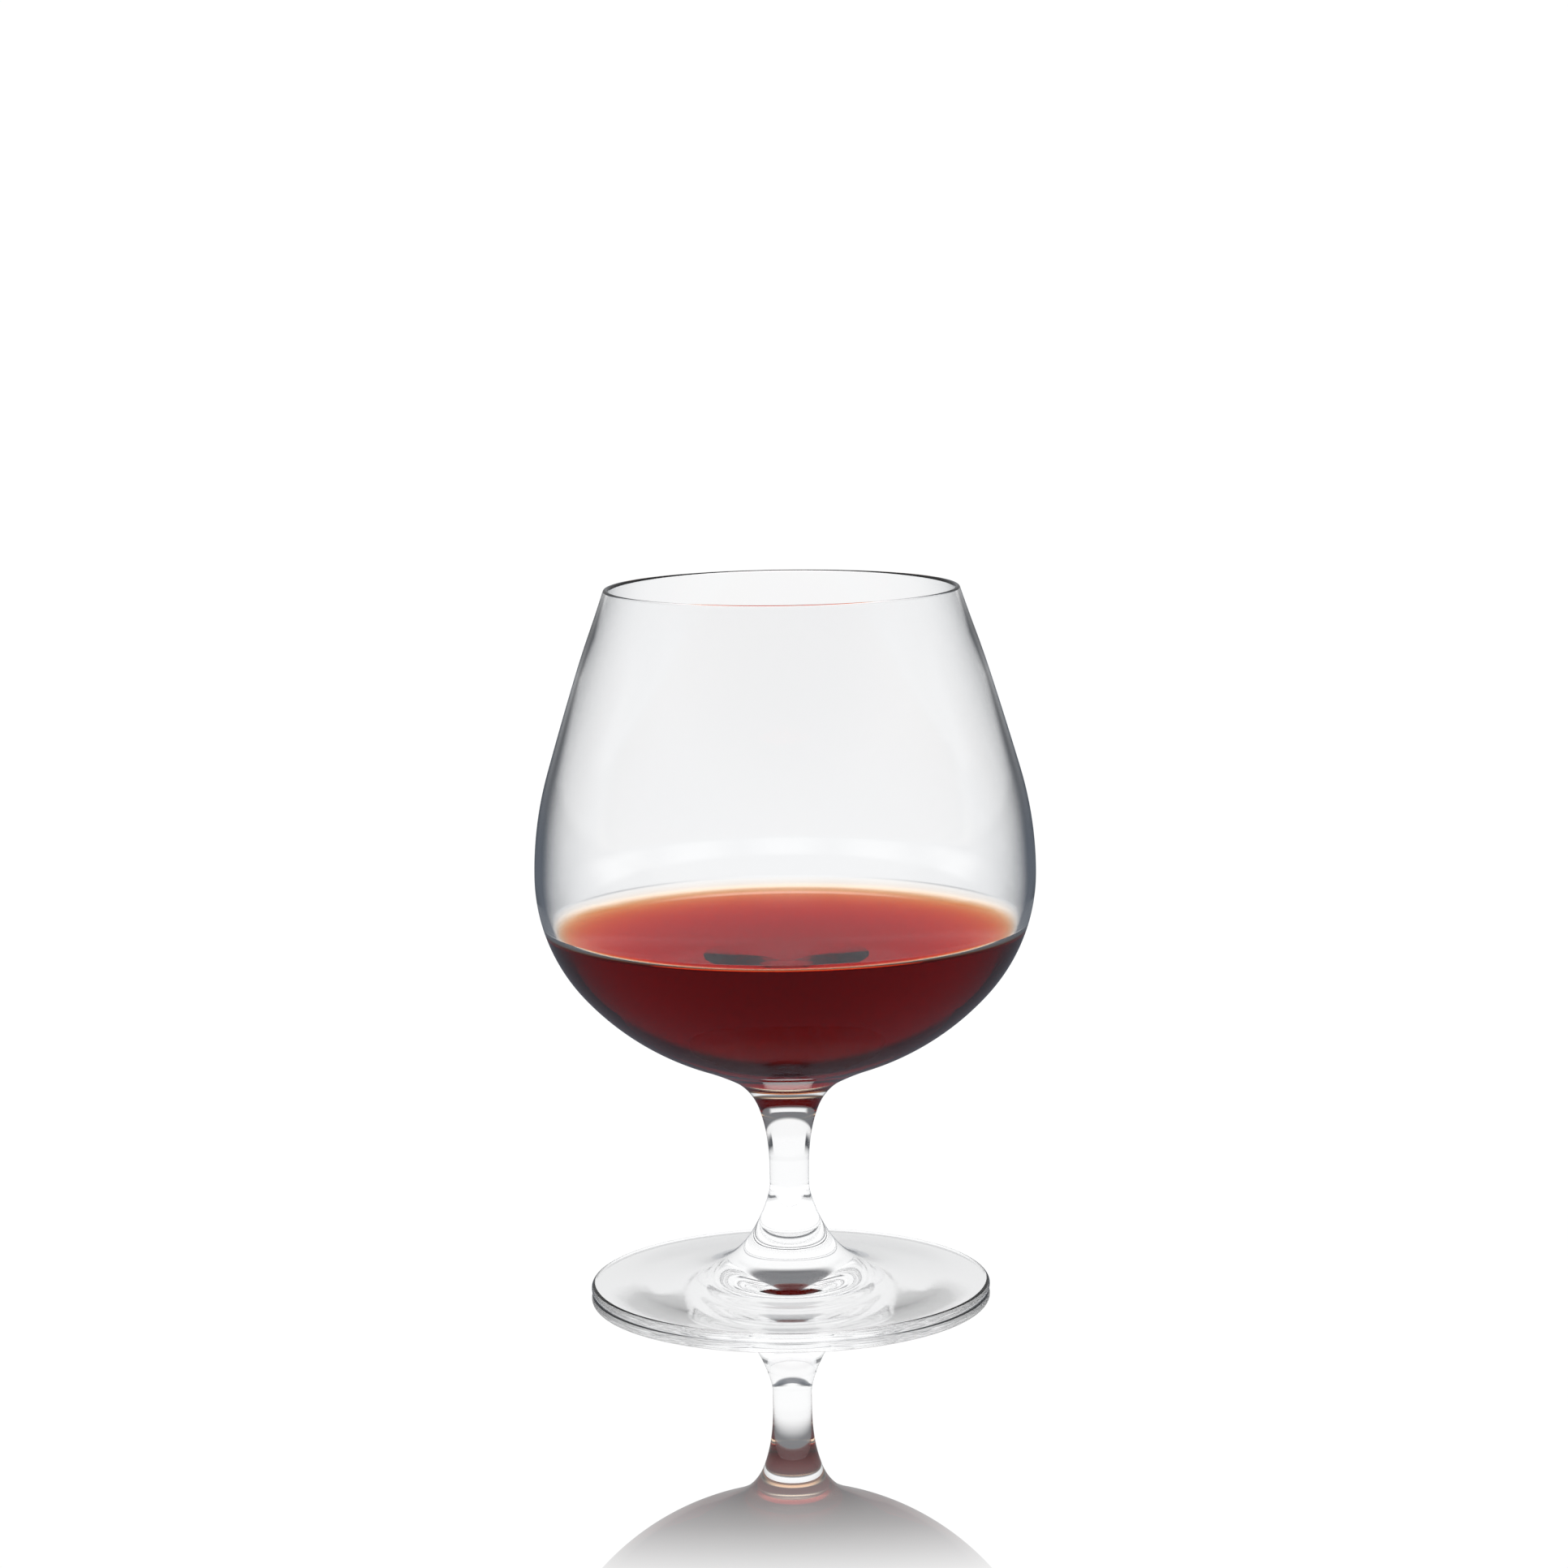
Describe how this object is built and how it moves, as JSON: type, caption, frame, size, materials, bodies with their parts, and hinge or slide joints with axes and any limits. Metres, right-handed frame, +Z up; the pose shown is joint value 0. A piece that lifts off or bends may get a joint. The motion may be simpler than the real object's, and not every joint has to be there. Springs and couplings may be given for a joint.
{
  "type": "brandy glass",
  "caption": "Short-stemmed brandy snifter with a wide balloon bowl drawn in to a narrower mouth, a waisted stem and a round foot, holding a measure of brandy.",
  "frame": {"origin": "centre of the foot's resting plane, on the glass's axis", "axes": "+Z up along the glass's axis of revolution; X and Y are any two level directions, because the glass is round"},
  "size_m": [0.092, 0.092, 0.1313],
  "materials": {
    "bowl_glass": "polished",
    "stem_glass": "polished",
    "foot_glass": "polished",
    "brandy": "polished"
  },
  "bodies": {
    "root": {"bowl": "bowl_glass", "stem": "stem_glass", "foot": "foot_glass", "brandy": "brandy"}
  },
  "joints": []
}
